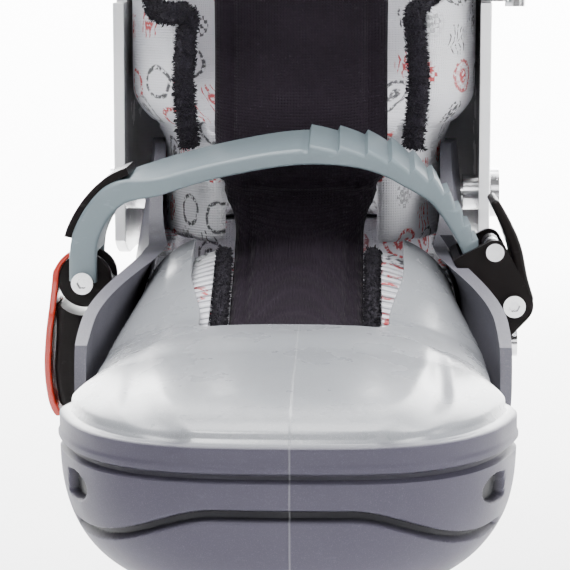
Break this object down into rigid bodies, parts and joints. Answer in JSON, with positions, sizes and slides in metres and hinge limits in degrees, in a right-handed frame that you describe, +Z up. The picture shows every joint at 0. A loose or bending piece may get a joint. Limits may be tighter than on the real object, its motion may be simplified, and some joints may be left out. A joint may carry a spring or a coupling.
{
  "type": "ice skate",
  "caption": "Child's size-adjustable hard-shell ice skate with sliding toe shell, pivoting cuff, ratchet straps, quick-release lever, soft liner and steel blade",
  "frame": {"origin": "middle of the blade's flat running edge, at the level of the ice", "axes": "+Z up, toe towards -Y, wearer's outer side with the ratchet at +X, strap hinges and quick-release lever at -X"},
  "size_m": [0.1293, 0.255, 0.2397],
  "materials": {
    "shell_silver": "satin moulded plastic with a metallic silver pigment and fine grain",
    "shell_dark": "satin dark silver moulded plastic",
    "white_plastic": "glossy white moulded plastic",
    "strap_plastic": "satin blue-grey flexible strap plastic",
    "black_plastic": "glossy black moulded plastic with fine scuffs",
    "red_plastic": "translucent-looking glossy red-orange plastic",
    "chrome_pin": "polished plated steel pins and rivets",
    "zinc_steel": "zinc plated pressed steel",
    "blade_steel": "ground and polished stainless steel",
    "liner_fabric": null,
    "stretch_fabric": "white ribbed elastic fabric with the same print",
    "fleece": "black fleece edging",
    "tongue_fabric": "smooth dark purple-black padded fabric",
    "insole_felt": "dark grey felt on foam"
  },
  "bodies": {
    "boot": {"rear_shell": "shell_dark", "blade_holder": "white_plastic", "blade": "blade_steel", "blade_screws": "chrome_pin", "blade_nuts": "chrome_pin", "holder_bolts": "zinc_steel", "holder_nuts": "zinc_steel", "clamp_plate": "zinc_steel", "insole": "insole_felt", "liner_boot": "liner_fabric", "liner_gusset": "stretch_fabric", "liner_ankle": "liner_fabric", "fleece_edge": "fleece", "tongue_lower": "tongue_fabric", "strap_bracket": "zinc_steel", "bracket_rivets": "chrome_pin", "strap_pin": "chrome_pin", "ratchet_base": "black_plastic", "ratchet_rivets": "chrome_pin", "ratchet_pin": "chrome_pin", "pawl_pin": "chrome_pin", "pawl_spring": "chrome_pin", "cuff_rivets": "chrome_pin", "cuff_washers": "chrome_pin"},
    "toe": {"toe_shell": "shell_silver", "liner_toe": "liner_fabric"},
    "knob": {"size_knob": "black_plastic"},
    "cuff_body": {"cuff": "white_plastic", "liner_collar": "liner_fabric", "fleece_trim": "fleece", "tongue_upper": "tongue_fabric", "cuff_strap_bracket": "zinc_steel", "cuff_strap_rivets": "chrome_pin", "cuff_strap_pin": "chrome_pin", "cuff_buckle_base": "black_plastic", "cuff_buckle_rivets": "chrome_pin", "cuff_buckle_pin": "chrome_pin", "cuff_pawl_pin": "chrome_pin", "cuff_pawl_spring": "chrome_pin"},
    "strap_body": {"instep_strap": "strap_plastic", "strap_end_cap": "black_plastic"},
    "quick_body": {"quick_lever": "black_plastic", "lever_cover": "red_plastic"},
    "ratchet_body": {"ratchet_lever": "black_plastic"},
    "pawl_body": {"pawl": "black_plastic"},
    "cuff_strap_body": {"cuff_strap": "strap_plastic"},
    "cuff_lever_body": {"cuff_buckle_lever": "black_plastic"},
    "cuff_pawl_body": {"cuff_pawl": "black_plastic"}
  },
  "joints": [
    {"name": "toe_slide", "type": "slide", "parent": "boot", "child": "toe", "axis": [0, -1, 0], "range_m": [0, 0.02], "deforming": ["liner_gusset", "fleece_edge"]},
    {"name": "size_knob_turn", "type": "hinge", "parent": "boot", "child": "knob", "pos_m": [0, -0.026, 0.055], "axis": [0, 0, -1], "range_deg": [0, 360]},
    {"name": "cuff_flex", "type": "hinge", "parent": "boot", "child": "cuff_body", "pos_m": [0, 0.062, 0.135], "axis": [1, 0, 0], "range_deg": [-4, 4], "deforming": ["liner_ankle"]},
    {"name": "strap_open", "type": "hinge", "parent": "boot", "child": "strap_body", "pos_m": [-0.055, 0.006, 0.118], "axis": [0, -1, 0], "range_deg": [0, 28]},
    {"name": "quick_lever_open", "type": "hinge", "parent": "boot", "child": "quick_body", "pos_m": [-0.055, 0.006, 0.118], "axis": [0, 1, 0], "range_deg": [0, 50]},
    {"name": "ratchet_lever_open", "type": "hinge", "parent": "boot", "child": "ratchet_body", "pos_m": [0.055, 0.006, 0.113], "axis": [0, 1, 0], "range_deg": [0, 85]},
    {"name": "pawl_release", "type": "hinge", "parent": "boot", "child": "pawl_body", "pos_m": [0.05004, 0.006, 0.12658], "axis": [0, -1, 0], "range_deg": [0, 9], "stiffness_Nm_per_rad": 0.01},
    {"name": "cuff_strap_open", "type": "hinge", "parent": "cuff_body", "child": "cuff_strap_body", "pos_m": [-0.058, 0.044, 0.204], "axis": [0, 0, -1], "range_deg": [0, 65]},
    {"name": "cuff_lever_open", "type": "hinge", "parent": "cuff_body", "child": "cuff_lever_body", "pos_m": [0.058, 0.049, 0.204], "axis": [0, 0, 1], "range_deg": [0, 85]},
    {"name": "cuff_pawl_release", "type": "hinge", "parent": "cuff_body", "child": "cuff_pawl_body", "pos_m": [0.05304, 0.03542, 0.204], "axis": [0, 0, -1], "range_deg": [0, 9], "stiffness_Nm_per_rad": 0.01}
  ]
}
